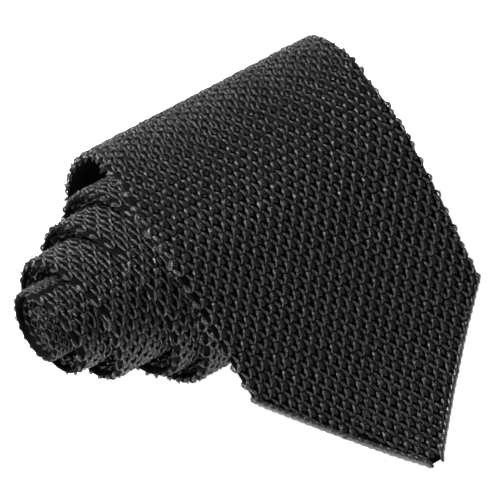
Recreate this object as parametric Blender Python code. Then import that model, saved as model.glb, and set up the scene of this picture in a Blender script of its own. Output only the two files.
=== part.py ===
"""A pointed knitted necktie, folded in half and rolled up, with its wide blade over the roll."""

import math

import bmesh
import bpy

MM = 0.001
SIZE = 1.04  # the outline below is drawn for a 75 mm blade, and the real one is 78 mm wide

# The roll, in drawing millimetres. Angles are in degrees from the top of the roll, backwards.
STEP = 18
LIFT_ANGLE = 9
LEAVE_ANGLE = -45
SEAM_ANGLE = 1089
FOLD_ANGLE = 1791
TAIL_ANGLE = 153
OUTER_RADIUS = 34.0
CENTRE_Z = OUTER_RADIUS * math.cos(math.radians(LIFT_ANGLE))
# (angle, outer radius) of the roll: the inner turns have sunk, so top and bottom differ
RADIUS = (
    (44, 34.0), (224, 34.0), (404, 25.6), (584, 29.2), (764, 20.8), (944, 23.2),
    (1124, 15.8), (1304, 17.2), (1484, 9.8), (1664, 11.4), (1844, 4.9),
)
# (angle, left edge, width): each inner turn has slid further out to the left
EDGES = (
    (-45, -7.0, 79.0), (-20, -8.0, 79.0), (10, -4.0, 77.0), (44, 0.0, 75.0), (224, -1.7, 73.0),
    (404, -7.3, 70.0), (584, -7.9, 66.0), (764, -17.0, 62.0), (944, -22.0, 57.0),
    (1124, -27.8, 52.0), (1304, -31.0, 47.0), (1484, -34.5, 43.0), (1844, -36.0, 40.0),
)
TAIL_WIDTH = ((153, 52.0), (404, 48.0), (764, 44.0), (1124, 40.0), (1844, 38.0))
TAIL_INSET = 1.5

# The free blade, seen from the side, as (distance forward, height) of a Bezier curve's handles
BLADE_HANDLES = ((43.5, 36.0), (53.0, 14.0))
BLADE_END = (79.5, 1.31)
BLADE_STEPS = 14
BLADE_CENTRE = 37.5
BLADE_WIDTH = 75.0
POINT_LENGTH = 37.0
POINT_HALF_WIDTH = 1.9
THICKENING_STEPS = 3  # steps from the roll until the lined blade has its full thickness
OPENING_SPREAD = 2.0  # how fast the opening in the back widens towards the point
OPENING_START = 0.5

# The cloth
HALF_THICK = 1.05
BLADE_HALF_THICK = 1.45
WALL = 0.5
SIDE_WALL = 0.6
SLIT = 0.6
HEM = 13.0
LAYER_PITCH = 2.4
GAP = 0.32  # at the line that the blade lifts about
SEAM_GAP = 0.5  # from the end of each length of cloth to the seam
INSIDE_TRIM = 1.0  # what lies inside stops this short of a seam

# Strips across the tie: how far in from its edges, and (lowest, highest) from its middle layer
LINING_INSET = 1.2
LINING = (-0.25, 0.25)
TIPPING = (-1.05, -0.65)
TIPPING_NARROWEST = 8.0
TIPPING_SHORT_BY = 4  # stations from the roll
LINING_SHORT_BY = (2, 3)  # stations from the point, and from the tail's end

# Patches on the back: (left, right) of its middle line, and (lowest, highest) from its surface
STITCH = (-0.25, 0.25, 0.1, 0.4)
BLADE_TACK = (-0.3, 0.3, -0.5, 0.4)
TAIL_TACK = (-0.3, 0.3, 0.0, 0.4)
MAKER_LABEL = (-17, 17, -0.62, -0.32)
CARE_LABEL = (-7, 7, -0.62, -0.32)
KEEPER = (-28, 28, -1.32, -0.32)

# Places along the cloth: where the back seam starts, and each bar tack's start and end
STITCH_START = 2.6
CLOSED_FROM_EDGE = 5
BLADE_TACK_START = 0.5
BLADE_TACK_LENGTH = 1.6
TAIL_TACK_PLACES = (2.0, 0.5)
THREAD_INSET = 1.0
THREAD_THICKNESS = 0.4
FOLD_STEPS = 6

BLACK_KNIT = ((0.012, 0.012, 0.014, 1), 0.85)
BLACK_LINING = ((0.02, 0.02, 0.024, 1), 0.45)
GREY_WOOL = ((0.25, 0.24, 0.23, 1), 0.95)
BLACK_THREAD = ((0.01, 0.01, 0.012, 1), 0.5)
LABEL_GREY = ((0.18, 0.18, 0.19, 1), 0.5)
LABEL_WHITE = ((0.75, 0.75, 0.73, 1), 0.6)


def clear_scene():
    for obj in list(bpy.data.objects):
        bpy.data.objects.remove(obj, do_unlink=True)


def new_collection(name):
    collection = bpy.data.collections.new(name)
    bpy.context.scene.collection.children.link(collection)
    return collection


def material(name, look):
    colour, roughness = look
    made = bpy.data.materials.new(name)
    made.use_nodes = True
    shader = made.node_tree.nodes["Principled BSDF"]
    shader.inputs["Base Color"].default_value = colour
    shader.inputs["Roughness"].default_value = roughness
    shader.inputs["Metallic"].default_value = 0.0
    made.diffuse_color = colour
    return made


def eased(table, at, column=1):
    """The value at an angle, eased between the table's rows."""
    if at <= table[0][0]:
        return table[0][column]
    for low, high in zip(table, table[1:]):
        if at <= high[0]:
            share = (at - low[0]) / (high[0] - low[0])
            share = (1 - math.cos(math.pi * share)) / 2
            return low[column] + (high[column] - low[column]) * share
    return table[-1][column]


class Station:
    """One cross-section of the tie: its middle and outward normal from the side, and its edges."""

    def __init__(self, forward, height, normal, left, right, half=HALF_THICK, slit=SLIT):
        self.forward = forward
        self.height = height
        self.normal = normal
        self.left = left
        self.right = right
        self.half = half
        self.slit = slit

    def place(self, across, out):
        """A point of this section, in world metres: across the tie, and out from its middle."""
        forward = self.forward + self.normal[0] * out
        height = self.height + self.normal[1] * out
        return ((across - BLADE_CENTRE) * SIZE * MM, -forward * SIZE * MM, height * SIZE * MM)

    @property
    def middle(self):
        return (self.left + self.right) / 2


def on_roll(angle, depth, left, right, facing=1, half=HALF_THICK):
    """A station on the roll, its middle a depth inside the roll's outer line."""
    turn = math.radians(angle)
    out = (-math.sin(turn), math.cos(turn))
    radius = eased(RADIUS, angle) - depth
    normal = (out[0] * facing, out[1] * facing)
    return Station(out[0] * radius, CENTRE_Z + out[1] * radius, normal, left, right, half)


def outer_layer(start, end):
    """Stations of the blade's side of the roll, from the crown inwards."""
    stations = []
    angle = start
    while angle <= end + 1e-6:
        left = eased(EDGES, angle)
        right = left + eased(EDGES, angle, 2)
        stations.append(on_roll(angle, HALF_THICK, left, right))
        angle += STEP
    return stations


def inner_layer(start, end):
    """Stations of the tail's side of the roll, from the fold outwards."""
    stations = []
    angle = start
    while angle >= end - 1e-6:
        left = eased(EDGES, angle) + TAIL_INSET
        right = left + eased(TAIL_WIDTH, angle)
        stations.append(on_roll(angle, HALF_THICK + LAYER_PITCH, left, right, -1))
        angle -= STEP
    return stations


def fold():
    """Stations of the tight turn at the roll's heart, where the tie is folded in half."""
    outer = outer_layer(FOLD_ANGLE, FOLD_ANGLE)[0]
    inner = inner_layer(FOLD_ANGLE, FOLD_ANGLE)[0]
    centre = ((outer.forward + inner.forward) / 2, (outer.height + inner.height) / 2)
    ahead = (-outer.normal[1], outer.normal[0])
    stations = []
    for step in range(1, FOLD_STEPS):
        turn = math.pi * step / FOLD_STEPS
        normal = (
            outer.normal[0] * math.cos(turn) + ahead[0] * math.sin(turn),
            outer.normal[1] * math.cos(turn) + ahead[1] * math.sin(turn),
        )
        reach = LAYER_PITCH / 2
        share = step / FOLD_STEPS
        left = outer.left + (inner.left - outer.left) * share
        right = outer.right + (inner.right - outer.right) * share
        stations.append(
            Station(centre[0] + normal[0] * reach, centre[1] + normal[1] * reach, normal, left, right)
        )
    return stations


def bezier(points, share):
    rest = 1 - share
    weights = (rest**3, 3 * rest * rest * share, 3 * rest * share * share, share**3)
    return tuple(sum(w * p[axis] for w, p in zip(weights, points)) for axis in (0, 1))


def free_blade():
    """Stations of the blade that comes off the roll, from its point up to where it leaves."""
    turn = math.radians(LEAVE_ANGLE)
    radius = OUTER_RADIUS - HALF_THICK
    start = (-math.sin(turn) * radius, CENTRE_Z + math.cos(turn) * radius)
    handles = (start, *BLADE_HANDLES, BLADE_END)
    line = [bezier(handles, step / BLADE_STEPS) for step in range(BLADE_STEPS + 1)]
    distance = [0.0]
    for a, b in zip(line[::-1], line[-2::-1]):
        distance.append(distance[-1] + math.dist(a, b))
    distance = distance[::-1]
    leaving = (eased(EDGES, LEAVE_ANGLE), eased(EDGES, LEAVE_ANGLE) + eased(EDGES, LEAVE_ANGLE, 2))
    stations = []
    for step, (forward, height) in enumerate(line):
        if step == 0:
            continue
        before = line[step - 1]
        after = line[min(step + 1, BLADE_STEPS)]
        along = (after[0] - before[0], after[1] - before[1])
        length = math.hypot(*along)
        normal = (-along[1] / length, along[0] / length)
        wide = min(1.0, max(0.0, (distance[step] - POINT_LENGTH) / (distance[0] - POINT_LENGTH)))
        left = leaving[0] * wide
        right = BLADE_WIDTH + (leaving[1] - BLADE_WIDTH) * wide
        half_width = POINT_HALF_WIDTH + (BLADE_CENTRE - POINT_HALF_WIDTH) * distance[step] / POINT_LENGTH
        if distance[step] < POINT_LENGTH:
            left = BLADE_CENTRE - half_width
            right = BLADE_CENTRE + half_width
        thick = min(1.0, step / THICKENING_STEPS)
        half = HALF_THICK + (BLADE_HALF_THICK - HALF_THICK) * thick
        open_share = min(1.0, max(0.0, step / BLADE_STEPS * OPENING_SPREAD - OPENING_START))
        slit = max(SLIT, ((right - left) / 2 - HEM) * open_share)
        stations.append(Station(forward, height, normal, left, right, half, slit))
    return stations[::-1]


def shifted(station, other, amount):
    """The station moved a little towards another, to leave a gap between two pieces."""
    apart = math.dist((station.forward, station.height), (other.forward, other.height))
    share = amount / apart
    return Station(
        station.forward + (other.forward - station.forward) * share,
        station.height + (other.height - station.height) * share,
        station.normal,
        station.left + (other.left - station.left) * share,
        station.right + (other.right - station.right) * share,
        station.half,
        station.slit,
    )


def trimmed(stations, first=0.0, last=0.0):
    """The stations with each end drawn back by a length."""
    out = list(stations)
    if first:
        out[0] = shifted(out[0], out[1], first)
    if last:
        out[-1] = shifted(out[-1], out[-2], last)
    return out


def shell_section(s):
    """A folded tube of cloth, open along the slit at its back."""
    m = s.middle
    inner = s.half - WALL
    return (
        (m - s.slit, -s.half), (s.left, -s.half), (s.left, s.half), (s.right, s.half),
        (s.right, -s.half), (m + s.slit, -s.half), (m + s.slit, -inner),
        (s.right - SIDE_WALL, -inner), (s.right - SIDE_WALL, inner),
        (s.left + SIDE_WALL, inner), (s.left + SIDE_WALL, -inner), (m - s.slit, -inner),
    )


def strip_section(inset, low, high):
    """A flat strip inside the tube, drawn in from both edges."""

    def section(s):
        lift = s.half - HALF_THICK
        return (
            (s.left + inset, low + lift), (s.left + inset, high + lift),
            (s.right - inset, high + lift), (s.right - inset, low + lift),
        )

    return section


def patch_section(left, right, low, high):
    """A flat strip at a fixed place across the tie, on or in the tie's back."""

    def section(s):
        return (
            (s.middle + left, low - s.half), (s.middle + left, high - s.half),
            (s.middle + right, high - s.half), (s.middle + right, low - s.half),
        )

    return section


def loft(name, stations, section, look, collection):
    """One closed solid through a section at every station."""
    mesh = bmesh.new()
    rings = []
    for station in stations:
        rings.append([mesh.verts.new(station.place(*point)) for point in section(station)])
    count = len(rings[0])
    for low, high in zip(rings, rings[1:]):
        for i in range(count):
            j = (i + 1) % count
            mesh.faces.new((low[i], low[j], high[j], high[i]))
    mesh.faces.new(rings[0][::-1])
    mesh.faces.new(rings[-1])
    bmesh.ops.recalc_face_normals(mesh, faces=mesh.faces)
    data = bpy.data.meshes.new(name)
    mesh.to_mesh(data)
    mesh.free()
    obj = bpy.data.objects.new(name, data)
    obj.data.materials.append(material(name, look))
    collection.objects.link(obj)
    return obj


def rod(name, start, end, thickness, look, collection):
    """A straight thread between two world points."""
    curve = bpy.data.curves.new(name, "CURVE")
    curve.dimensions = "3D"
    curve.bevel_depth = thickness / 2 * SIZE * MM
    curve.bevel_resolution = 1
    curve.use_fill_caps = True
    spline = curve.splines.new("POLY")
    spline.points.add(1)
    for point, at in zip(spline.points, (start, end)):
        point.co = (*at, 1)
    obj = bpy.data.objects.new(name, curve)
    obj.data.materials.append(material(name, look))
    collection.objects.link(obj)
    return obj


def seam_thread(name, low, high, collection):
    """The thread that closes the joint between two lengths of the tie, across its whole width."""
    middle = shifted(low, high, math.dist((low.forward, low.height), (high.forward, high.height)) / 2)
    start = middle.place(middle.left + THREAD_INSET, 0)
    end = middle.place(middle.right - THREAD_INSET, 0)
    rod(name, start, end, THREAD_THICKNESS, BLACK_THREAD, collection)


def put_on_hinge(objects, pivot):
    """Gives the moving pieces a parent empty on the axis that the blade lifts about."""
    hinge = bpy.data.objects.new("blade_lift_axis", None)
    hinge.location = pivot
    objects[0].users_collection[0].objects.link(hinge)
    bpy.context.view_layer.update()
    for obj in objects:
        obj.parent = hinge
        obj.matrix_parent_inverse = hinge.matrix_world.inverted()


def knit_and_lining(name, shell, inside, collection):
    """One length of the knitted tube, and the interlining inside it."""
    return [
        loft("knit_" + name, shell, shell_section, BLACK_KNIT, collection),
        loft("interlining_" + name, inside, strip_section(LINING_INSET, *LINING), GREY_WOOL, collection),
    ]


def lengths(point, blade, neck, tail, collection):
    """The four lengths of cloth. It gives back the pieces of the one that lifts."""
    moving = knit_and_lining("point", point, point[LINING_SHORT_BY[0]:], collection)
    blade_inside = trimmed(blade, GAP, INSIDE_TRIM)
    neck_inside = trimmed(neck, INSIDE_TRIM, INSIDE_TRIM)
    tail_inside = trimmed(tail, INSIDE_TRIM)[:-LINING_SHORT_BY[1]]
    knit_and_lining("blade", trimmed(blade, GAP, SEAM_GAP), blade_inside, collection)
    knit_and_lining("neck", trimmed(neck, SEAM_GAP, SEAM_GAP), neck_inside, collection)
    knit_and_lining("tail", trimmed(tail, SEAM_GAP), tail_inside, collection)
    return moving


def back_stitching(point, blade, neck, tail, collection):
    """The back seam's thread, which lies in the slit, and the bar tack at each end of it."""
    stitch = patch_section(*STITCH)
    closed = [s for s in point if s.slit == SLIT and s.left < CLOSED_FROM_EDGE]
    runs = {
        "point": trimmed(closed, STITCH_START),
        "blade": trimmed(blade, GAP, SEAM_GAP),
        "neck": trimmed(neck, SEAM_GAP, SEAM_GAP),
        "tail": trimmed(tail[:-2], SEAM_GAP, SEAM_GAP),
    }
    made = {}
    for name, run in runs.items():
        made[name] = loft("slip_stitch_" + name, run, stitch, BLACK_THREAD, collection)
    tack_start = shifted(closed[0], closed[1], BLADE_TACK_START)
    tack = [tack_start, shifted(tack_start, closed[1], BLADE_TACK_LENGTH)]
    blade_tack = loft("blade_bar_tack", tack, patch_section(*BLADE_TACK), BLACK_THREAD, collection)
    tack = [shifted(tail[-2], tail[-1], place) for place in TAIL_TACK_PLACES]
    loft("tail_bar_tack", tack, patch_section(*TAIL_TACK), BLACK_THREAD, collection)
    return [made["point"], blade_tack]


def tippings(tail, collection):
    """The linings of the point and of the tail's end. It gives back the point's."""
    lined = [s for s in free_blade() if s.right - s.left > TIPPING_NARROWEST]
    section = strip_section(LINING_INSET, *TIPPING)
    blade_tipping = loft("blade_tipping", lined[:-TIPPING_SHORT_BY], section, BLACK_LINING, collection)
    section = strip_section(LINING_INSET, *LINING)
    loft("tail_tipping", trimmed(tail[-3:], INSIDE_TRIM), section, BLACK_LINING, collection)
    return [blade_tipping]


def back_trimmings(blade, collection):
    """What is sewn to the back, in the space between the first turn and the second."""
    loft("maker_label", blade[1:3], patch_section(*MAKER_LABEL), LABEL_GREY, collection)
    loop = trimmed(blade[3:5], SEAM_GAP, SEAM_GAP)
    loft("keeper_loop", loop, patch_section(*KEEPER), BLACK_KNIT, collection)
    care = trimmed(blade[5:7], INSIDE_TRIM, INSIDE_TRIM)
    loft("care_label", care, patch_section(*CARE_LABEL), LABEL_WHITE, collection)


def main():
    clear_scene()
    tie = new_collection("necktie")
    point = free_blade() + outer_layer(LEAVE_ANGLE, LIFT_ANGLE)
    blade = outer_layer(LIFT_ANGLE, SEAM_ANGLE)
    neck = outer_layer(SEAM_ANGLE, FOLD_ANGLE) + fold() + inner_layer(FOLD_ANGLE, SEAM_ANGLE)
    tail = inner_layer(SEAM_ANGLE, TAIL_ANGLE)
    moving = lengths(point, blade, neck, tail, tie)
    moving += back_stitching(point, blade, neck, tail, tie)
    moving += tippings(tail, tie)
    back_trimmings(blade, tie)
    neck_run = trimmed(neck, SEAM_GAP, SEAM_GAP)
    seam_thread("seam_thread_blade_neck", trimmed(blade, GAP, SEAM_GAP)[-1], neck_run[0], tie)
    seam_thread("seam_thread_neck_tail", neck_run[-1], trimmed(tail, SEAM_GAP)[0], tie)
    crown = outer_layer(LIFT_ANGLE, LIFT_ANGLE)[0]
    put_on_hinge(moving, crown.place(0, HALF_THICK))


main()
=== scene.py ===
"""The looks of the rolled knitted necktie: stitches, linings, threads and labels, camera and light."""

import math

import bpy
import numpy as np
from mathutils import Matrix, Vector


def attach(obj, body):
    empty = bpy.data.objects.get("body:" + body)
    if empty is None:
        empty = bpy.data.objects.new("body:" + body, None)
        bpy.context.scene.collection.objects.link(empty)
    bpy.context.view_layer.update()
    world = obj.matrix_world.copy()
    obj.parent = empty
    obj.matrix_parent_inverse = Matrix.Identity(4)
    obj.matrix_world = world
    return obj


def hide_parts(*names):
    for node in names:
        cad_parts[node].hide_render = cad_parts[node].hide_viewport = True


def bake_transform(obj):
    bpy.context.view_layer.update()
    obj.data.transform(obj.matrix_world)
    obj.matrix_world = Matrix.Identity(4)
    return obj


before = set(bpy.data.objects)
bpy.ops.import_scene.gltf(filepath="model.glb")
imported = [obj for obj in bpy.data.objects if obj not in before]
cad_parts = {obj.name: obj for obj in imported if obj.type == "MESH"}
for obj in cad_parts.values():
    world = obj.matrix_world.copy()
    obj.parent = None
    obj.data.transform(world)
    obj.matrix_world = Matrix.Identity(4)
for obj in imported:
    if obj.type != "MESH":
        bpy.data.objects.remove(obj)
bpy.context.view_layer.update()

MM = 0.001
SIZE = 1.04

# The tie's own line, in drawing millimetres: the same curves as in the CAD
LIFT_ANGLE = 9
LEAVE_ANGLE = -45
SEAM_ANGLE = 1089
FOLD_ANGLE = 1791
TAIL_ANGLE = 153
OUTER_RADIUS = 34.0
CENTRE_Z = OUTER_RADIUS * math.cos(math.radians(LIFT_ANGLE))
RADIUS = (
    (44, 34.0), (224, 34.0), (404, 25.6), (584, 29.2), (764, 20.8), (944, 23.2),
    (1124, 15.8), (1304, 17.2), (1484, 9.8), (1664, 11.4), (1844, 4.9),
)
EDGES = (
    (-45, -7.0, 79.0), (-20, -8.0, 79.0), (10, -4.0, 77.0), (44, 0.0, 75.0), (224, -1.7, 73.0),
    (404, -7.3, 70.0), (584, -7.9, 66.0), (764, -17.0, 62.0), (944, -22.0, 57.0),
    (1124, -27.8, 52.0), (1304, -31.0, 47.0), (1484, -34.5, 43.0), (1844, -36.0, 40.0),
)
TAIL_WIDTH = ((153, 52.0), (404, 48.0), (764, 44.0), (1124, 40.0), (1844, 38.0))
TAIL_INSET = 1.5
ANGLE_STEP = 2.0
PAST_END = 0.1  # keeps the last angle in each range
FOLD_STEPS = 12
BLADE_SAMPLES = 160
BLADE_HANDLES = ((43.5, 36.0), (53.0, 14.0))
BLADE_END = (79.5, 1.31)
BLADE_CENTRE = 37.5
BLADE_WIDTH = 75.0
POINT_LENGTH = 37.0
POINT_HALF_WIDTH = 1.9
HALF_THICK = 1.05
LAYER_PITCH = 2.4
HEM = 13.0
SPLIT_ANGLE = 54  # where the first length of cloth ends, behind the crown

# The smooth cloth under the stitches: how far its face and back are out from the line, and its edges
FACE = 0.10
EDGE_RADIUS = 0.55
BACK = FACE - 2 * EDGE_RADIUS
EDGE_TURN_LIMIT = 2.4  # radians that a stitch may go round an edge
ROW_STEP = 1.5
FACE_COLUMNS = 26
EDGE_COLUMNS = 7
SEAM_RISE = 0.35
SEAM_SPREAD = 1.2
TINY = 1e-9


def eased(table, at, column=1):
    """The value at each angle, eased between the table's rows."""
    at = np.clip(np.asarray(at, float), table[0][0], table[-1][0])
    angles = np.array([row[0] for row in table], float)
    values = np.array([row[column] for row in table], float)
    low = np.clip(np.searchsorted(angles, at, side="right") - 1, 0, len(angles) - 2)
    share = (at - angles[low]) / (angles[low + 1] - angles[low])
    share = (1 - np.cos(np.pi * share)) / 2
    return values[low] + (values[low + 1] - values[low]) * share


class Line:
    """The tie's middle line as dense samples, read back at any length along it from the point."""

    def __init__(self):
        parts = [self.free_blade(), self.outer(), self.fold(), self.inner()]
        self.angle = np.concatenate([p["angle"] for p in parts])
        self.point = np.concatenate([p["point"] for p in parts])
        self.normal = np.concatenate([p["normal"] for p in parts])
        self.left = np.concatenate([p["left"] for p in parts])
        self.right = np.concatenate([p["right"] for p in parts])
        steps = np.hypot(*np.diff(self.point, axis=0).T)
        self.length = np.concatenate([[0], np.cumsum(steps)])
        self.outer_start = len(parts[0]["angle"])
        self.outer_end = self.outer_start + len(parts[1]["angle"])
        self.inner_start = len(self.length) - len(parts[3]["angle"])

    def on_roll(self, angle, depth, facing):
        turn = np.radians(angle)
        out = np.stack([-np.sin(turn), np.cos(turn)], 1)
        radius = eased(RADIUS, angle) - depth
        point = out * radius[:, None] + np.array([0, CENTRE_Z])
        return point, out * facing

    def outer(self):
        angle = np.arange(LEAVE_ANGLE, FOLD_ANGLE + PAST_END, ANGLE_STEP)
        point, normal = self.on_roll(angle, HALF_THICK, 1)
        left = eased(EDGES, angle)
        right = left + eased(EDGES, angle, 2)
        return {"angle": angle, "point": point, "normal": normal, "left": left, "right": right}

    def inner(self):
        angle = np.arange(FOLD_ANGLE, TAIL_ANGLE - PAST_END, -ANGLE_STEP)
        point, normal = self.on_roll(angle, HALF_THICK + LAYER_PITCH, -1)
        left = eased(EDGES, angle) + TAIL_INSET
        right = left + eased(TAIL_WIDTH, angle)
        return {"angle": angle, "point": point, "normal": normal, "left": left, "right": right}

    def fold(self):
        a = {k: v[-1] for k, v in self.outer().items()}
        b = {k: v[0] for k, v in self.inner().items()}
        turn = np.pi * np.arange(1, FOLD_STEPS)[:, None] / FOLD_STEPS
        ahead = np.array([-a["normal"][1], a["normal"][0]])
        normal = a["normal"] * np.cos(turn) + ahead * np.sin(turn)
        point = (a["point"] + b["point"]) / 2 + normal * LAYER_PITCH / 2
        share = turn[:, 0] / np.pi
        left = a["left"] + (b["left"] - a["left"]) * share
        right = a["right"] + (b["right"] - a["right"]) * share
        angle = np.full(len(share), float(FOLD_ANGLE))
        return {"angle": angle, "point": point, "normal": normal, "left": left, "right": right}

    def free_blade(self):
        start, _ = self.on_roll(np.array([float(LEAVE_ANGLE)]), HALF_THICK, 1)
        handles = np.array([BLADE_END, BLADE_HANDLES[1], BLADE_HANDLES[0], start[0]])
        share = np.linspace(0, 1, BLADE_SAMPLES)[:-1, None]
        rest = 1 - share
        weights = (rest**3, 3 * rest**2 * share, 3 * rest * share**2, share**3)
        point = sum(w * h for w, h in zip(weights, handles))
        along = np.gradient(np.concatenate([point, start]), axis=0)[:-1]
        along /= np.hypot(*along.T)[:, None]
        normal = np.stack([along[:, 1], -along[:, 0]], 1)
        closed = np.concatenate([point, start])
        distance = np.concatenate([[0], np.cumsum(np.hypot(*np.diff(closed, axis=0).T))])
        wide = np.clip((distance - POINT_LENGTH) / (distance[-1] - POINT_LENGTH), 0, 1)[:-1]
        distance = distance[:-1]
        leave_left = eased(EDGES, LEAVE_ANGLE)
        leave_right = leave_left + eased(EDGES, LEAVE_ANGLE, 2)
        half = POINT_HALF_WIDTH + (BLADE_CENTRE - POINT_HALF_WIDTH) * distance / POINT_LENGTH
        in_point = distance < POINT_LENGTH
        left = np.where(in_point, BLADE_CENTRE - half, leave_left * wide)
        right = np.where(in_point, BLADE_CENTRE + half, BLADE_WIDTH + (leave_right - BLADE_WIDTH) * wide)
        angle = np.full(len(distance), float(LEAVE_ANGLE))
        return {"angle": angle, "point": point, "normal": normal, "left": left, "right": right}

    def at_angle(self, angle, inner=False):
        """The length along the tie at an angle of the roll."""
        if inner:
            part = slice(self.inner_start, None)
            return float(np.interp(-angle, -self.angle[part], self.length[part]))
        part = slice(self.outer_start, self.outer_end)
        return float(np.interp(angle, self.angle[part], self.length[part]))

    def edges(self, s):
        return np.interp(s, self.length, self.left), np.interp(s, self.length, self.right)

    def place(self, x, s, n):
        """World points for x across, s along the tie from its point, and n out from its middle."""
        p = np.stack([np.interp(s, self.length, self.point[:, i]) for i in (0, 1)], 1)
        normal = np.stack([np.interp(s, self.length, self.normal[:, i]) for i in (0, 1)], 1)
        normal /= np.hypot(*normal.T)[:, None]
        over = np.clip(s - self.length[-1], 0, None) - np.clip(-s, 0, None)
        along = normal[:, ::-1] * np.array([-1.0, 1.0])
        p = p + normal * n[:, None] + along * over[:, None]
        out = np.stack([x - BLADE_CENTRE, -p[:, 0], p[:, 1]], 1)
        return out * SIZE * MM


line = Line()


def wrapped(x, s, h):
    """Across and out, for a height over the cloth's face, where the cloth turns round its two edges."""
    left, right = line.edges(s)
    r = np.minimum(EDGE_RADIUS, (right - left) / 4)
    centre = FACE - r
    across = x.copy()
    out = np.full_like(x, FACE) + h
    for side, edge in ((1, right), (-1, left)):
        over = side * (x - edge) + r
        turn = np.clip(over / r, 0, EDGE_TURN_LIMIT)
        round_it = over > 0
        across = np.where(round_it, edge - side * r + side * (r + h) * np.sin(turn), across)
        out = np.where(round_it, centre + (r + h) * np.cos(turn), out)
    return across, out


# --- meshes -------------------------------------------------------------------------------------------

def mesh_object(name, points, quads):
    mesh = bpy.data.meshes.new(name)
    mesh.vertices.add(len(points))
    mesh.vertices.foreach_set("co", np.asarray(points, np.float32).ravel())
    mesh.loops.add(quads.size)
    mesh.loops.foreach_set("vertex_index", quads.astype(np.int32).ravel())
    mesh.polygons.add(len(quads))
    mesh.polygons.foreach_set("loop_start", np.arange(0, quads.size, 4, dtype=np.int32))
    mesh.polygons.foreach_set("use_smooth", np.full(len(quads), True))
    mesh.update(calc_edges=True)
    mesh.validate()
    obj = bpy.data.objects.new(name, mesh)
    bpy.context.scene.collection.objects.link(obj)
    return obj


def grid_quads(rows, columns):
    """Quads of a grid whose columns close on themselves."""
    i = np.arange(rows - 1)[:, None]
    j = np.arange(columns)[None, :]
    k = (j + 1) % columns
    return np.stack(np.broadcast_arrays(i * columns + j, i * columns + k, (i + 1) * columns + k,
                                        (i + 1) * columns + j), -1).reshape(-1, 4)


def capped(quads, rows, columns):
    """The grid's quads with each end closed by quads across an even ring."""
    caps = []
    for ring, flip in ((0, False), ((rows - 1) * columns, True)):
        for j in range(columns // 2 - 1):
            quad = [ring + j, ring + columns - 1 - j, ring + columns - 2 - j, ring + j + 1]
            caps.append(quad[::-1] if flip else quad)
    return np.concatenate([quads, np.array(caps)])


def cloth_tube(name, start, end):
    """The folded cloth under the stitches: face, both rounded edges, and a back with its seam."""
    rows = max(3, int((end - start) / ROW_STEP))
    s = np.linspace(start, end, rows)
    flat = np.linspace(0, 1, FACE_COLUMNS)
    turn = np.linspace(0, np.pi, EDGE_COLUMNS)[1:-1]
    left, right = line.edges(s)
    r = np.minimum(EDGE_RADIUS, (right - left) / 4)
    middle = (left + right) / 2
    columns = []
    for f in flat:
        columns.append((left + r + (right - left - 2 * r) * f, np.full(rows, FACE)))
    for t in turn:
        columns.append((right - r + r * math.sin(t), FACE - r + r * math.cos(t)))
    for f in flat[::-1]:
        x = left + r + (right - left - 2 * r) * f
        seam = SEAM_RISE * np.exp(-(((x - middle) / SEAM_SPREAD) ** 2))
        columns.append((x, FACE - 2 * r + seam))
    for t in turn:
        columns.append((left + r - r * math.sin(t), FACE - r - r * math.cos(t)))
    count = len(columns)
    x = np.stack([c[0] for c in columns], 1).ravel()
    n = np.stack([c[1] for c in columns], 1).ravel()
    points = line.place(x, np.repeat(s, count), n)
    return mesh_object(name, points, capped(grid_quads(rows, count), rows, count))


def tubes(x, s, h, radius, sides):
    """Quads and points, in cloth space, of one tube along each row of points."""
    many, rings = x.shape
    path = np.stack([x, s, h], -1)
    along = np.gradient(path, axis=1)
    along /= np.linalg.norm(along, axis=-1, keepdims=True) + TINY
    up = np.zeros_like(along)
    up[..., 2] = 1.0
    side = np.cross(along, up)
    side /= np.linalg.norm(side, axis=-1, keepdims=True) + TINY
    up = np.cross(side, along)
    turn = np.arange(sides) * 2 * np.pi / sides
    ring = (side[:, :, None] * np.cos(turn)[:, None] + up[:, :, None] * np.sin(turn)[:, None])
    points = path[:, :, None] + ring * radius[:, :, None, None]
    quads = grid_quads(rings, sides)
    quads = (np.arange(many)[:, None, None] * rings * sides + quads).reshape(-1, 4)
    return points.reshape(-1, 3), quads


# --- stitches -----------------------------------------------------------------------------------------

# A stitch every WALE across and COURSE along, each row half a stitch over
WALE = 4.0
COURSE = 5.0
# (size of the stitches, height of their relief): flatter in the turns, and drawn tight at the core
BLADE_KNIT = (1.0, 1.0)
TURN_KNIT = (1.0, 0.62)
CORE_KNIT = (0.62, 0.45)
CORE_ANGLE = 1440
# How far past the middle of an edge the stitches go, in edge radii: further where the edge is in view
OUTER_REACH = 1.3
INNER_REACH = 0.6
POINT_MARGIN = 0.4

# A stitch is two fat legs of yarn that meet in a V towards the tie's point, each of four plies.
# A leg's top and foot are (across, along) from the middle of its stitch
LEG_TOP = (1.12, 1.38)
LEG_FOOT = (0.36, -1.28)
LEG_CURVE = 1.15
LEG_SUNK = -0.55
LEG_RISE = 1.20
LEG_ARCH = (0.04, 0.90)
LEG_ARCH_POWER = 0.8
LEG_SWELL = (0.62, 0.38)
LEG_MESH = (6, 3)  # rings and sides of each ply's tube
TIGHT_LEG_MESH = (5, 3)
UNEVEN = (0.08, 0.10, 0.07, 0.5)  # how much stitches differ: top across, along, rise, twist
PLIES = 4
PLY_RADIUS = 0.18
PLY_OFFSET = 0.46
PLY_TURNS = 1.15
PLY_SPREAD = (0.9, 0.45, 0.8)  # across, along, out

# Between two stitches of a row lie bars of yarn: (how far along, how far each side)
BARS = ((0.70, 0.92), (0.10, 0.98), (-0.50, 0.85), (-1.05, 0.62))
BAR_BOW = 0.55
BAR_SLANT = 0.18
BAR_SUNK = -0.05
BAR_RISE = 0.34
BAR_UNEVEN = 0.03
BAR_RADIUS = 0.25
BAR_TAPER = (1.02, 0.75)
BAR_MESH = (5, 4)
TIGHT_BAR_MESH = (5, 3)

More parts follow.
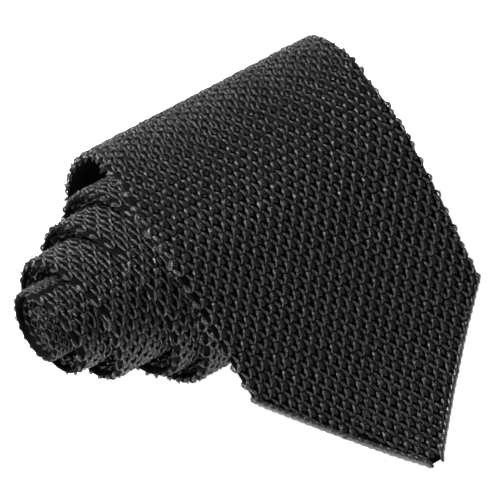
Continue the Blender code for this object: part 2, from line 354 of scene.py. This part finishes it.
# The edging stitches along the two slants of the point
EDGING_PITCH = 2.1
EDGING_LENGTH = 1.25
EDGING_SLANT = 0.55
EDGING_SLANT_ACROSS = 0.35
EDGING_REACH = 0.72
EDGING_INSET = 0.35
EDGING_HEIGHT = 0.12
EDGING_RISE = 0.30
EDGING_UNEVEN = 0.04
EDGING_RADIUS = 0.62
EDGING_TAPER = (1.05, 3.2, 0.05)
EDGING_MESH = (7, 8)


def stitch_legs(cx, cs, scale, relief, rng):
    """Cloth-space tubes of the two legs of every stitch."""
    rings, sides = LEG_MESH if scale == 1 else TIGHT_LEG_MESH
    t = np.linspace(0, 1, rings)[None, :]
    parts = []
    jitter = rng.normal(0, 1, (len(cx), 4))
    for side in (-1, 1):
        top_x = LEG_TOP[0] + UNEVEN[0] * jitter[:, :1]
        x = cx[:, None] + scale * side * (top_x + (LEG_FOOT[0] - top_x) * t**LEG_CURVE)
        s = cs[:, None] + scale * (LEG_TOP[1] + (LEG_FOOT[1] - LEG_TOP[1]) * t + UNEVEN[1] * jitter[:, 1:2])
        rise = (LEG_RISE + UNEVEN[2] * jitter[:, 2:3]) * relief
        h = LEG_SUNK * relief + rise * np.sin(np.pi * (LEG_ARCH[0] + LEG_ARCH[1] * t)) ** LEG_ARCH_POWER
        swell = LEG_SWELL[0] + LEG_SWELL[1] * np.sin(np.pi * t)
        phase = jitter[:, 3:4] * UNEVEN[3]
        for ply in range(PLIES):
            spin = 2 * np.pi * (PLY_TURNS * t * side + ply / PLIES) + phase
            px = x + scale * PLY_OFFSET * np.cos(spin) * PLY_SPREAD[0]
            ps = s + scale * PLY_OFFSET * np.cos(spin) * PLY_SPREAD[1] * side
            ph = h + scale * PLY_OFFSET * np.sin(spin) * PLY_SPREAD[2]
            radius = scale * PLY_RADIUS * swell * np.ones_like(px)
            parts.append(tubes(px, ps, ph, radius, sides))
    return parts


def purl_bars(cx, cs, scale, rng):
    """Cloth-space tubes of the bars of yarn that lie low between two stitches of a row."""
    rings, sides = BAR_MESH if scale == 1 else TIGHT_BAR_MESH
    t = np.linspace(-1, 1, rings)[None, :]
    parts = []
    for at, reach in BARS:
        x = cx[:, None] + scale * reach * t
        s = cs[:, None] + scale * (at + BAR_BOW * t * t + BAR_SLANT * t)
        h = BAR_SUNK + scale * (BAR_RISE * (1 - t * t) + BAR_UNEVEN * rng.normal(0, 1, (len(cx), 1)))
        radius = scale * BAR_RADIUS * np.sqrt(BAR_TAPER[0] - t * t * BAR_TAPER[1]) * np.ones_like(x)
        parts.append(tubes(x, s, h, radius, sides))
    return parts


def stitch_sites(start, end, scale, left_out=None):
    """Where each stitch of a length of tie sits, across and along, apart from those left out."""
    wale, course = WALE * scale, COURSE * scale
    first, last = math.ceil(start / (course / 2)), math.floor(end / (course / 2))
    xs, ss = [], []
    for row in range(first, last + 1):
        s = row * course / 2
        left, right = (float(v) for v in line.edges(s))
        middle = (left + right) / 2
        reach = (right - left) / 2 + EDGE_RADIUS * (OUTER_REACH if start < S_SPLIT + 1 else INNER_REACH)
        if s < POINT_LENGTH:
            reach = (right - left) / 2 - POINT_MARGIN
        count = int(reach / wale) + 1
        offset = 0.5 if row % 2 else 0.0
        for k in range(-count - 1, count + 2):
            x = (k + offset) * wale
            if abs(x) > reach:
                continue
            if left_out and left_out(s, middle + x, left, right):
                continue
            xs.append(middle + x)
            ss.append(s)
    return np.array(xs), np.array(ss)


def stitches(name, start, end, knit, left_out, seed):
    """The raised stitches over a length of the tie, on its face and round its edges, as one mesh."""
    rng = np.random.default_rng(seed)
    scale, relief = knit
    cx, cs = stitch_sites(start, end, scale, left_out)
    parts = stitch_legs(cx, cs, scale, relief, rng)
    parts += purl_bars(cx + WALE * scale / 2, cs, scale, rng)
    if start < POINT_LENGTH:
        parts += point_edging(rng)
    points, quads, at = [], [], 0
    for p, q in parts:
        points.append(p)
        quads.append(q + at)
        at += len(p)
    points = np.concatenate(points)
    x, n = wrapped(points[:, 0], points[:, 1], points[:, 2])
    return mesh_object(name, line.place(x, points[:, 1], n), np.concatenate(quads))


def point_edging(rng):
    """Small twisted stitches along the two slanting edges of the point, and round its tip."""
    rings, sides = EDGING_MESH
    t = np.linspace(-0.5, 0.5, rings)[None, :]
    count = int(math.hypot(POINT_LENGTH, BLADE_CENTRE) / EDGING_PITCH)
    across = EDGING_REACH - EDGING_SLANT * EDGING_SLANT_ACROSS
    along = EDGING_REACH + EDGING_SLANT
    parts = []
    for side in (-1, 1):
        share = (np.arange(count) + 0.5)[:, None] / count
        left, right = line.edges(share * POINT_LENGTH)
        half = (right - left) / 2
        x = (left + right) / 2 + side * (half - EDGING_INSET + EDGING_PITCH * EDGING_LENGTH * t * across)
        s = share * POINT_LENGTH + EDGING_PITCH * EDGING_LENGTH * t * along
        h = EDGING_HEIGHT + EDGING_RISE * (1 - 4 * t * t) + EDGING_UNEVEN * rng.normal(0, 1, (count, 1))
        taper = np.clip(EDGING_TAPER[0] - EDGING_TAPER[1] * t * t, EDGING_TAPER[2], 1)
        radius = (EDGING_RADIUS * np.sqrt(taper)) * np.ones_like(x)
        parts.append(tubes(x, s + 0 * x, h, radius, sides))
    return parts


# --- strips: linings and labels -----------------------------------------------------------------------

STRIP_COLUMNS = 8
FINE_STEP = 1.0


def strip(name, start, end, low, high, left_of, right_of, step=ROW_STEP):
    """A flat closed strip that follows the tie's line."""
    rows = max(3, int((end - start) / step))
    s = np.linspace(start, end, rows)
    left, right = left_of(s), right_of(s)
    f = np.linspace(0, 1, STRIP_COLUMNS)
    columns = [(left + (right - left) * a, np.full(rows, high)) for a in f]
    columns += [(left + (right - left) * a, np.full(rows, low)) for a in f[::-1]]
    count = len(columns)
    x = np.stack([c[0] for c in columns], 1).ravel()
    n = np.stack([c[1] for c in columns], 1).ravel()
    points = line.place(x, np.repeat(s, count), n)
    return mesh_object(name, points, capped(grid_quads(rows, count), rows, count))


def inset_strip(name, start, end, low, high, inset):
    return strip(name, start, end, low, high, lambda s: line.edges(s)[0] + inset,
                 lambda s: line.edges(s)[1] - inset)


def middle_of(s):
    left, right = line.edges(s)
    return (left + right) / 2


def centred_strip(name, start, end, low, high, half_of):
    """A strip about the tie's middle, whose half width is a function of the length along it."""
    return strip(name, start, end, low, high, lambda s: middle_of(s) - half_of(s),
                 lambda s: middle_of(s) + half_of(s), FINE_STEP)


# --- materials ---------------------------------------------------------------------------------------

def nodes_of(name):
    made = bpy.data.materials.new(name)
    made.use_nodes = True
    return made, made.node_tree.nodes, made.node_tree.links


SHADE_STOPS = (0.3, 0.7)
SHADE_DETAIL = 4.0
FIBRE_DETAIL = 3.0
FIBRE_FINENESS = 4  # fibres to each patch of shade
FIBRE_HEIGHT = 0.0002
SHEEN_ROUGHNESS = 0.4


def cloth_material(name, dark, light, roughness, scale, bump, sheen=0.2, specular=0.5):
    """Yarn or cloth: two shades mixed by fine noise, with fibres as bump."""
    made, nodes, links = nodes_of(name)
    shader = nodes["Principled BSDF"]
    shader.inputs["Roughness"].default_value = roughness
    shader.inputs["Specular IOR Level"].default_value = specular
    shader.inputs["Sheen Weight"].default_value = sheen
    shader.inputs["Sheen Roughness"].default_value = SHEEN_ROUGHNESS
    place = nodes.new("ShaderNodeTexCoord")
    noise = nodes.new("ShaderNodeTexNoise")
    noise.inputs["Scale"].default_value = scale
    noise.inputs["Detail"].default_value = SHADE_DETAIL
    links.new(place.outputs["Object"], noise.inputs["Vector"])
    ramp = nodes.new("ShaderNodeValToRGB")
    for stop, shade, position in zip(ramp.color_ramp.elements, (dark, light), SHADE_STOPS):
        stop.color = (*shade, 1)
        stop.position = position
    links.new(noise.outputs["Fac"], ramp.inputs["Fac"])
    links.new(ramp.outputs["Color"], shader.inputs["Base Color"])
    fibre = nodes.new("ShaderNodeTexNoise")
    fibre.inputs["Scale"].default_value = scale * FIBRE_FINENESS
    fibre.inputs["Detail"].default_value = FIBRE_DETAIL
    links.new(place.outputs["Object"], fibre.inputs["Vector"])
    raised = nodes.new("ShaderNodeBump")
    raised.inputs["Strength"].default_value = bump
    raised.inputs["Distance"].default_value = FIBRE_HEIGHT
    links.new(fibre.outputs["Fac"], raised.inputs["Height"])
    links.new(raised.outputs["Normal"], shader.inputs["Normal"])
    return made


def paint(obj, material):
    obj.data.materials.clear()
    obj.data.materials.append(material)


# --- the tie ------------------------------------------------------------------------------------------

YARN = cloth_material(
    "black_yarn", (0.0003, 0.0003, 0.0004), (0.0095, 0.0095, 0.011),
    roughness=0.28, scale=700.0, bump=0.8, sheen=0.0, specular=0.9)
# The cloth under the stitches: black like the yarn, and kept near black and without shine so the holes
# between the stitches read dark, which is painted shade
GROUND_AND_GAP_SHADE = cloth_material(
    "black_ground_and_gap_shade", (0.0015, 0.0015, 0.0017), (0.004, 0.004, 0.004),
    roughness=0.9, scale=700.0, bump=0.8, sheen=0.0, specular=0.05)
WOOL = cloth_material(
    "grey_wool", (0.18, 0.17, 0.16), (0.32, 0.31, 0.29), roughness=0.95, scale=400.0, bump=0.6)
LINING = cloth_material(
    "black_lining", (0.010, 0.010, 0.013), (0.018, 0.018, 0.023),
    roughness=0.35, scale=1500.0, bump=0.2, sheen=0.1)
THREAD = cloth_material(
    "black_thread", (0.008, 0.008, 0.010), (0.03, 0.03, 0.034), roughness=0.45, scale=2500.0, bump=0.4)
LABEL = cloth_material(
    "grey_label", (0.13, 0.13, 0.14), (0.2, 0.2, 0.21), roughness=0.5, scale=1800.0, bump=0.3)
CARE = cloth_material(
    "white_label", (0.62, 0.62, 0.60), (0.75, 0.75, 0.73), roughness=0.6, scale=1800.0, bump=0.2)

S_SPLIT = line.at_angle(SPLIT_ANGLE)
S_SEAM = line.at_angle(SEAM_ANGLE)
S_NECK_END = line.at_angle(SEAM_ANGLE, inner=True)
S_END = float(line.length[-1])
JOIN_GAP = 0.15
# Stitches are left out inside the roll, further in than this from the left and right edges. With the
# blade lifted this leaves a bare patch in view on the crown, which the blade covers at rest
OUTER_TURN_ANGLE = 430
SEEN_FROM_LEFT = 19.0
SEEN_FROM_LEFT_OUTER = 24.0
SEEN_FROM_RIGHT = 9.0
# The stitches change from full height to turn height here
TURN_ANGLE = 340


def hidden_inside(s, x, left, right):
    """True for a stitch that another turn, or the blade at rest, covers: away from both edges."""
    seen = SEEN_FROM_LEFT_OUTER if s < line.at_angle(OUTER_TURN_ANGLE) else SEEN_FROM_LEFT
    return x - left > seen and right - x > SEEN_FROM_RIGHT


def length_of_knit(name, start, end, runs):
    """A length of the tie: its cloth, and a piece of raised stitches for each run along it."""
    pieces = [cloth_tube(name + "_cloth", start, end)]
    # The cloth's near black is partly its own black and partly painted shade in the holes between the
    # stitches
    paint(pieces[0], GROUND_AND_GAP_SHADE)
    for label, run_start, run_end, knit, left_out, seed in runs:
        raised = stitches(f"{name}_{label}", run_start, run_end, knit, left_out, seed)
        paint(raised, YARN)
        pieces.append(raised)
    for piece in pieces:
        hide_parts(name)
        if name == "knit_point":
            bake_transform(piece)
        else:
            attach(piece, "roll")


def knit_pieces():
    """The four lengths. The first ends behind the crown, where the second takes over."""
    turn_start = line.at_angle(TURN_ANGLE)
    core_start = line.at_angle(CORE_ANGLE)
    core_end = line.at_angle(CORE_ANGLE, inner=True)
    length_of_knit("knit_point", 0.0, S_SPLIT, (
        ("stitches", 0.6, S_SPLIT - 0.6, BLADE_KNIT, None, 1),
    ))
    length_of_knit("knit_blade", S_SPLIT, S_SEAM - JOIN_GAP, (
        ("outer_stitches", S_SPLIT + 0.4, turn_start, BLADE_KNIT, None, 2),
        ("turn_stitches", turn_start + 0.1, S_SEAM - 0.2, TURN_KNIT, hidden_inside, 3),
    ))
    length_of_knit("knit_neck", S_SEAM + JOIN_GAP, S_NECK_END - JOIN_GAP, (
        ("turn_stitches", S_SEAM + 0.2, core_start, TURN_KNIT, hidden_inside, 4),
        ("core_stitches", core_start + 0.1, core_end, CORE_KNIT, hidden_inside, 5),
        ("inner_stitches", core_end + 0.1, S_NECK_END - 0.2, TURN_KNIT, hidden_inside, 6),
    ))
    length_of_knit("knit_tail", S_NECK_END + JOIN_GAP, S_END, (
        ("stitches", S_NECK_END + 0.2, S_END - 0.6, TURN_KNIT, hidden_inside, 7),
    ))


# Linings: (lowest, highest) out from the line, and what is left free at the edges, seams and ends
LINING_LAYER = (-0.62, -0.30)
LINING_INSET = 1.6
LINING_START = 7.0
SEAM_MARGIN = 1.0
TAIL_LINING_END = S_END - 22.0
TAIL_TIPPING = (S_END - 20.0, S_END - 1.0)
# The tipping in the open back of the point
TIPPING_LAYER = (BACK - 0.10, BACK + 0.06)
TIPPING_START = 9.0
OPENING_END = 72.0
OPENING_CLOSES_OVER = 35.0
OPENING_HEM_SHARE = 0.75
OPENING_LEAST = 0.3
# The seam thread
STITCH_PITCH = 4.0
STITCH_ACROSS = 1.6
STITCH_ALONG = 2.6
STITCH_LIFT = 0.02
STITCH_DIP = 0.34
STITCH_CROWN = 0.25
STITCH_RADIUS = 0.17
STITCH_START = OPENING_END + 2.5
STITCH_SEAM_MARGIN = 0.6
STITCH_MESH = (7, 5)
# The bar tacks, and the thread of the cross seams
THREAD_RADIUS = 0.2
THREAD_SIDES = 5
BLADE_TACK_AT = OPENING_END + 0.8
TAIL_TACK_AT = S_END - 20.5
TACK_TURNS = 9
TACK_HALF_WIDTH = 2.2
TACK_ALONG = 0.55
TACK_SUNK = 0.05
TACK_HEIGHT = 0.3
CROSS_SAMPLES = 160
CROSS_WAVES = 2.6
CROSS_ALONG = 0.35
CROSS_LIFT = 0.1
CROSS_HEIGHT = 0.2
# Patches sewn on the back: (node, from and to angle, how far out, half width, look, slot)
PATCH_THICKNESS = 0.3
PATCHES = (
    ("maker_label", 30, 42, 0.45, 17.0, LABEL, "grey_label"),
    ("keeper_loop", 64, 80, 1.0, 28.0, YARN, "black_knit"),
    ("care_label", 101, 115, 0.45, 7.0, CARE, "white_label"),
)


def lining_pieces():
    """The wool interlining in four lengths, and the tipping at the tail's end."""
    lengths = (
        ("interlining_point", LINING_START, S_SPLIT, WOOL, "grey_wool"),
        ("interlining_blade", S_SPLIT, S_SEAM - SEAM_MARGIN, WOOL, "grey_wool"),
        ("interlining_neck", S_SEAM + SEAM_MARGIN, S_NECK_END - SEAM_MARGIN, WOOL, "grey_wool"),
        ("interlining_tail", S_NECK_END + SEAM_MARGIN, TAIL_LINING_END, WOOL, "grey_wool"),
        ("tail_tipping", *TAIL_TIPPING, LINING, "black_lining"),
    )
    for name, start, end, look, slot_name in lengths:
        obj = inset_strip(name + "_felt", start, end, *LINING_LAYER, LINING_INSET)
        finish_piece(obj, name, look)


def finish_piece(obj, node, look):
    """Paints a piece, puts it in place of its node, and hangs it on the roll's body, unless it belongs to
    the point or the blade, which is left baked in place.
    """
    paint(obj, look)
    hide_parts(node)
    if node.endswith("_point") or node.startswith("blade_"):
        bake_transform(obj)
    else:
        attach(obj, "roll")


def back_opening(s):
    """Half the width of the opening in the back of the point, where the tipping shows."""
    left, right = line.edges(s)
    closing = np.clip((OPENING_END - s) / OPENING_CLOSES_OVER, 0, 1)
    return np.clip(((right - left) / 2 - HEM * OPENING_HEM_SHARE) * closing, OPENING_LEAST, None)


def back_pieces():
    """What shows on the back: tipping, seam thread, bar tacks, keeper loop and blank labels."""
    tipping = centred_strip("blade_tipping_satin", TIPPING_START, OPENING_END, *TIPPING_LAYER, back_opening)
    finish_piece(tipping, "blade_tipping", LINING)
    for name, start, end in (
        ("slip_stitch_point", STITCH_START, S_SPLIT),
        ("slip_stitch_blade", S_SPLIT, S_SEAM - STITCH_SEAM_MARGIN),
        ("slip_stitch_neck", S_SEAM + STITCH_SEAM_MARGIN, S_NECK_END - STITCH_SEAM_MARGIN),
        ("slip_stitch_tail", S_NECK_END + STITCH_SEAM_MARGIN, TAIL_LINING_END),
    ):
        finish_piece(seam_stitches(name + "_thread", start, end), name, THREAD)
    for name, at in (("blade_bar_tack", BLADE_TACK_AT), ("tail_bar_tack", TAIL_TACK_AT)):
        finish_piece(tack_bar(name + "_thread", at), name, THREAD)
    for node, first, last, out, half, look, slot_name in PATCHES:
        start, end = line.at_angle(first), line.at_angle(last)
        high = BACK - out + PATCH_THICKNESS
        obj = centred_strip(node + "_patch", start, end, BACK - out, high, lambda s: half)
        finish_piece(obj, node, look)


def seam_stitches(name, start, end):
    """The slanting stitches of one thread, in and out along the back seam."""
    rings, sides = STITCH_MESH
    count = int((end - start) / STITCH_PITCH)
    s0 = start + (np.arange(count)[:, None] + 0.5) * STITCH_PITCH
    t = np.linspace(-0.5, 0.5, rings)[None, :]
    x = middle_of(s0) + STITCH_ACROSS * t
    s = s0 + STITCH_ALONG * t
    h = BACK + STITCH_LIFT + STITCH_DIP * (4 * t * t - 1) + STITCH_CROWN + 0 * s0
    points, quads = tubes(x, s, h, np.full(s.shape, STITCH_RADIUS), sides)
    return mesh_object(name, line.place(points[:, 0], points[:, 1], points[:, 2]), quads)


def tack_bar(name, at):
    """A short bar of close thread turns across the seam."""
    along = np.linspace(0, TACK_TURNS * 2 * np.pi, TACK_TURNS * 10)[None, :]
    x = middle_of(np.array([at])) - TACK_HALF_WIDTH + 2 * TACK_HALF_WIDTH * along / along.max()
    s = at + TACK_ALONG * np.cos(along)
    h = BACK - TACK_SUNK + TACK_HEIGHT * np.sin(along)
    points, quads = tubes(x, s, h, np.full(s.shape, THREAD_RADIUS), THREAD_SIDES)
    return mesh_object(name, line.place(points[:, 0], points[:, 1], points[:, 2]), quads)


def cross_seams():
    """The thread across the tie where two lengths are joined."""
    for node, at in (("seam_thread_blade_neck", S_SEAM), ("seam_thread_neck_tail", S_NECK_END)):
        left, right = (float(v) for v in line.edges(at))
        x = np.linspace(left, right, CROSS_SAMPLES)[None, :]
        s = at + CROSS_ALONG * np.sin(x * CROSS_WAVES)
        h = FACE + CROSS_LIFT + CROSS_HEIGHT * np.cos(x * CROSS_WAVES)
        points, quads = tubes(x, s, h, np.full(x.shape, THREAD_RADIUS), THREAD_SIDES)
        obj = mesh_object(node + "_thread", line.place(points[:, 0], points[:, 1], points[:, 2]), quads)
        finish_piece(obj, node, THREAD)


# --- camera and light ---------------------------------------------------------------------------------

VIEW_TURN = 37.5
VIEW_RISE = 45.2
VIEW_TARGET = (-0.0087, -0.0102, 0.0312)
VIEW_DISTANCE = 1.2
VIEW_LENS = 311.0
VIEW_SENSOR = 36
VIEW_NEAREST = 0.01
SKY = 0.03
FLOOR_Z = -0.0008  # the stitches under the roll press a little below the smooth cloth
FLOOR_SIZE = 6
FLOOR_GLOW = 0.95
FLOOR_WHITE = 0.93
FLOOR_ROUGHNESS = 0.9
LAMP_TARGET = (0, -0.02, 0.03)
# (name, place, size, power)
LAMPS = (
    ("key", (-0.42, 0.30, 0.62), 0.18, 14.5),
    ("front", (-0.5, -0.7, 0.6), 0.35, 1.0),
    ("right", (0.8, -0.2, 0.45), 0.4, 1.2),
)


def camera():
    """A long lens from the front left, above."""
    made = bpy.data.cameras.new("camera")
    made.lens = VIEW_LENS
    made.sensor_width = VIEW_SENSOR
    made.clip_start = VIEW_NEAREST
    obj = bpy.data.objects.new("camera", made)
    bpy.context.scene.collection.objects.link(obj)
    turn, rise = math.radians(VIEW_TURN), math.radians(VIEW_RISE)
    back = Vector((-math.sin(turn) * math.cos(rise), -math.cos(turn) * math.cos(rise), math.sin(rise)))
    target = Vector(VIEW_TARGET)
    obj.location = target + back * VIEW_DISTANCE
    obj.rotation_euler = (-back).to_track_quat("-Z", "Y").to_euler()
    bpy.context.scene.camera = obj


def lamp(name, place, size, power):
    """A square white lamp, facing the tie."""
    made = bpy.data.lights.new(name, "AREA")
    made.size = size
    made.energy = power
    obj = bpy.data.objects.new(name, made)
    obj.location = place
    obj.rotation_euler = (Vector(LAMP_TARGET) - Vector(place)).to_track_quat("-Z", "Y").to_euler()
    bpy.context.scene.collection.objects.link(obj)


def surroundings():
    """A pale floor, soft lamps, and a sky that is white to the camera but lights the tie dimly."""
    bpy.ops.mesh.primitive_plane_add(size=FLOOR_SIZE, location=(0, 0, FLOOR_Z))
    floor = bpy.context.object
    floor.name = "floor"
    made, nodes, _ = nodes_of("pale_floor")
    shader = nodes["Principled BSDF"]
    shader.inputs["Base Color"].default_value = (FLOOR_WHITE, FLOOR_WHITE, FLOOR_WHITE, 1)
    shader.inputs["Roughness"].default_value = FLOOR_ROUGHNESS
    shader.inputs["Emission Color"].default_value = (1, 1, 1, 1)
    shader.inputs["Emission Strength"].default_value = FLOOR_GLOW
    floor.data.materials.append(made)
    world = bpy.data.worlds.new("sky")
    bpy.context.scene.world = world
    world.use_nodes = True
    nodes, links = world.node_tree.nodes, world.node_tree.links
    sky = nodes["Background"]
    sky.inputs["Color"].default_value = (1, 1, 1, 1)
    sky.inputs["Strength"].default_value = SKY
    seen = nodes.new("ShaderNodeBackground")
    seen.inputs["Color"].default_value = (1, 1, 1, 1)
    ray = nodes.new("ShaderNodeLightPath")
    mix = nodes.new("ShaderNodeMixShader")
    links.new(ray.outputs["Is Camera Ray"], mix.inputs["Fac"])
    links.new(sky.outputs["Background"], mix.inputs[1])
    links.new(seen.outputs["Background"], mix.inputs[2])
    links.new(mix.outputs["Shader"], nodes["World Output"].inputs["Surface"])
    for name, place, size, power in LAMPS:
        lamp(name, place, size, power)
    scene = bpy.context.scene
    scene.view_settings.view_transform = "Standard"
    scene.view_settings.exposure = 0.0


def main():
    knit_pieces()
    lining_pieces()
    back_pieces()
    cross_seams()
    camera()
    surroundings()


main()
